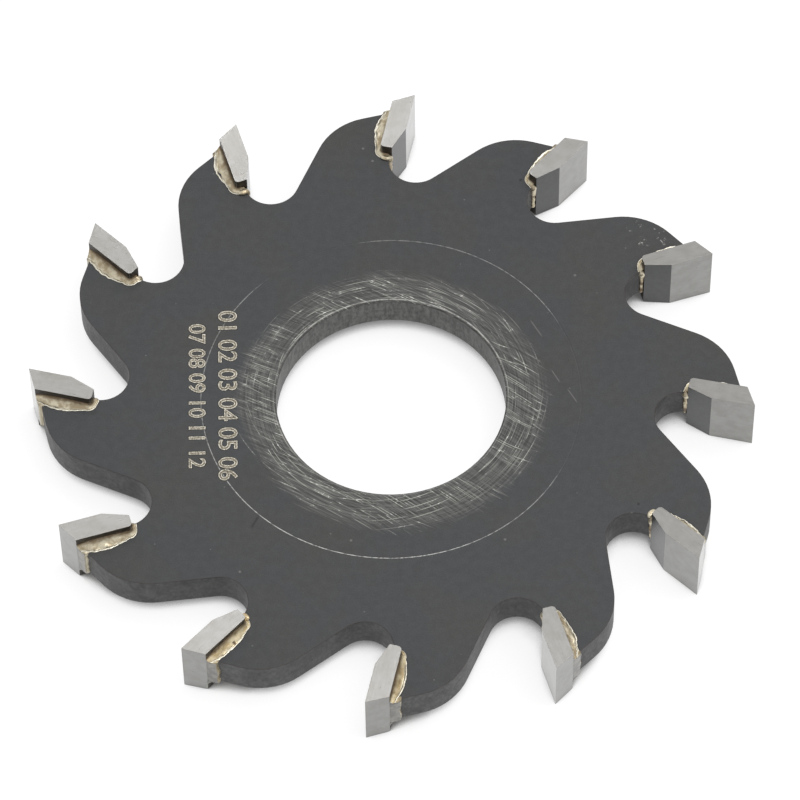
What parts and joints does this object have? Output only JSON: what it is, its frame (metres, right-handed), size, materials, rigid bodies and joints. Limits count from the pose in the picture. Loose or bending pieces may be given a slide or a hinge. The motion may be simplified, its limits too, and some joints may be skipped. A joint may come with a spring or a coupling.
{
  "type": "slotting saw blade",
  "caption": "Small thick circular saw blade with brazed carbide tips standing proud of a flat steel plate, round chip gullets and a plain arbor bore, for cutting slots.",
  "frame": {"origin": "centre of the arbor bore, at half the plate's thickness", "axes": "+Z along the bore, out of the face that is marked on the real blade; +Y through the cutting edge of tooth 1; the teeth cut clockwise seen from +Z"},
  "size_m": [0.063, 0.063, 0.006],
  "materials": {
    "plate_steel": "satin",
    "tip_carbide": "satin",
    "braze_metal": "satin"
  },
  "bodies": {
    "root": {"plate": "plate_steel", "tip_01": "tip_carbide", "tip_02": "tip_carbide", "tip_03": "tip_carbide", "tip_04": "tip_carbide", "tip_05": "tip_carbide", "tip_06": "tip_carbide", "tip_07": "tip_carbide", "tip_08": "tip_carbide", "tip_09": "tip_carbide", "tip_10": "tip_carbide", "tip_11": "tip_carbide", "tip_12": "tip_carbide", "braze_01": "braze_metal", "braze_02": "braze_metal", "braze_03": "braze_metal", "braze_04": "braze_metal", "braze_05": "braze_metal", "braze_06": "braze_metal", "braze_07": "braze_metal", "braze_08": "braze_metal", "braze_09": "braze_metal", "braze_10": "braze_metal", "braze_11": "braze_metal", "braze_12": "braze_metal"}
  },
  "joints": []
}
